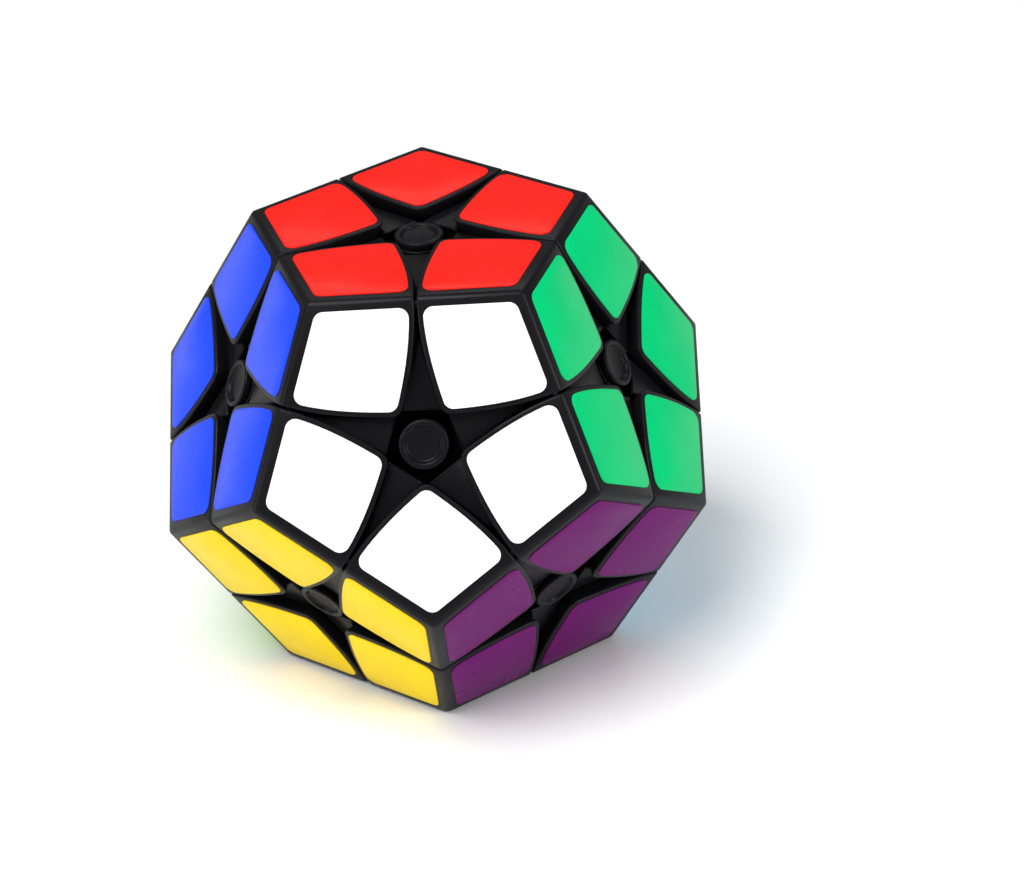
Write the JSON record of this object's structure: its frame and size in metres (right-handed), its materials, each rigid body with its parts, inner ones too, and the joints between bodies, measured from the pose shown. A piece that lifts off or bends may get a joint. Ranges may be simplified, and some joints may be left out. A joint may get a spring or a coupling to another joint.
{
  "type": "twisting puzzle",
  "caption": "Dodecahedral twisting puzzle with stickered corner pieces, recessed edge pieces and round sprung centres that let each face layer turn.",
  "frame": {"origin": "middle of the core, which is the middle of the puzzle", "axes": "+Z out of the red face, which is on top; the white face leans forward over -Y; the puzzle stands on the orange face"},
  "size_m": [0.0758, 0.0796, 0.065],
  "materials": {
    "black_plastic": "semi-gloss moulded black plastic, fine-grained, with slightly worn edges",
    "core_plastic": "satin moulded black plastic",
    "screw_steel": "plated steel screw",
    "spring_steel": "drawn spring steel wire",
    "sticker_white": "white vinyl sticker, slightly glossy film",
    "sticker_red": "red vinyl sticker, slightly glossy film",
    "sticker_green": "green vinyl sticker, slightly glossy film",
    "sticker_cream": "cream vinyl sticker, slightly glossy film",
    "sticker_pink": "pink vinyl sticker, slightly glossy film",
    "sticker_blue": "blue vinyl sticker, slightly glossy film",
    "sticker_purple": "purple vinyl sticker, slightly glossy film",
    "sticker_skyblue": "skyblue vinyl sticker, slightly glossy film",
    "sticker_grey": "grey vinyl sticker, slightly glossy film",
    "sticker_lime": "lime vinyl sticker, slightly glossy film",
    "sticker_yellow": "yellow vinyl sticker, slightly glossy film",
    "sticker_orange": "orange vinyl sticker, slightly glossy film"
  },
  "bodies": {
    "root": {"core": "core_plastic", "corner_blue_lime_yellow": "black_plastic", "corner_green_purple_skyblue": "black_plastic", "corner_pink_blue_lime": "black_plastic", "corner_pink_grey_lime": "black_plastic", "corner_red_pink_blue": "black_plastic", "edge_blue_lime": "black_plastic", "edge_blue_yellow": "black_plastic", "edge_green_purple": "black_plastic", "edge_green_skyblue": "black_plastic", "edge_grey_lime": "black_plastic", "edge_lime_yellow": "black_plastic", "edge_pink_blue": "black_plastic", "edge_pink_grey": "black_plastic", "edge_pink_lime": "black_plastic", "edge_purple_skyblue": "black_plastic", "edge_purple_yellow": "black_plastic", "edge_red_blue": "black_plastic", "edge_red_green": "black_plastic", "edge_red_pink": "black_plastic", "edge_skyblue_grey": "black_plastic", "screw_cream": "screw_steel", "screw_orange": "screw_steel", "screw_white": "screw_steel"},
    "white_layer": {"centre_white": "black_plastic", "corner_white_blue_yellow": "black_plastic", "corner_white_green_purple": "black_plastic", "corner_white_purple_yellow": "black_plastic", "corner_white_red_blue": "black_plastic", "corner_white_red_green": "black_plastic", "edge_white_blue": "black_plastic", "edge_white_green": "black_plastic", "edge_white_purple": "black_plastic", "edge_white_red": "black_plastic", "edge_white_yellow": "black_plastic", "spring_white": "spring_steel"},
    "cream_layer": {"centre_cream": "black_plastic", "corner_cream_pink_grey": "black_plastic", "corner_cream_skyblue_grey": "black_plastic", "corner_green_cream_skyblue": "black_plastic", "corner_red_cream_pink": "black_plastic", "corner_red_green_cream": "black_plastic", "edge_cream_grey": "black_plastic", "edge_cream_pink": "black_plastic", "edge_cream_skyblue": "black_plastic", "edge_green_cream": "black_plastic", "edge_red_cream": "black_plastic", "spring_cream": "spring_steel"},
    "orange_layer": {"centre_orange": "black_plastic", "corner_grey_lime_orange": "black_plastic", "corner_lime_yellow_orange": "black_plastic", "corner_purple_skyblue_orange": "black_plastic", "corner_purple_yellow_orange": "black_plastic", "corner_skyblue_grey_orange": "black_plastic", "edge_grey_orange": "black_plastic", "edge_lime_orange": "black_plastic", "edge_purple_orange": "black_plastic", "edge_skyblue_orange": "black_plastic", "edge_yellow_orange": "black_plastic", "spring_orange": "spring_steel"}
  },
  "joints": [
    {"name": "white_turn", "type": "hinge", "parent": "root", "child": "white_layer", "pos_m": [0, 0, 0], "axis": [0, -0.8944, 0.4472], "continuous": true},
    {"name": "cream_turn", "type": "hinge", "parent": "root", "child": "cream_layer", "pos_m": [0, 0, 0], "axis": [0.5257, 0.7236, 0.4472], "continuous": true},
    {"name": "orange_turn", "type": "hinge", "parent": "root", "child": "orange_layer", "pos_m": [0, 0, 0], "axis": [0, 0, -1], "continuous": true}
  ]
}
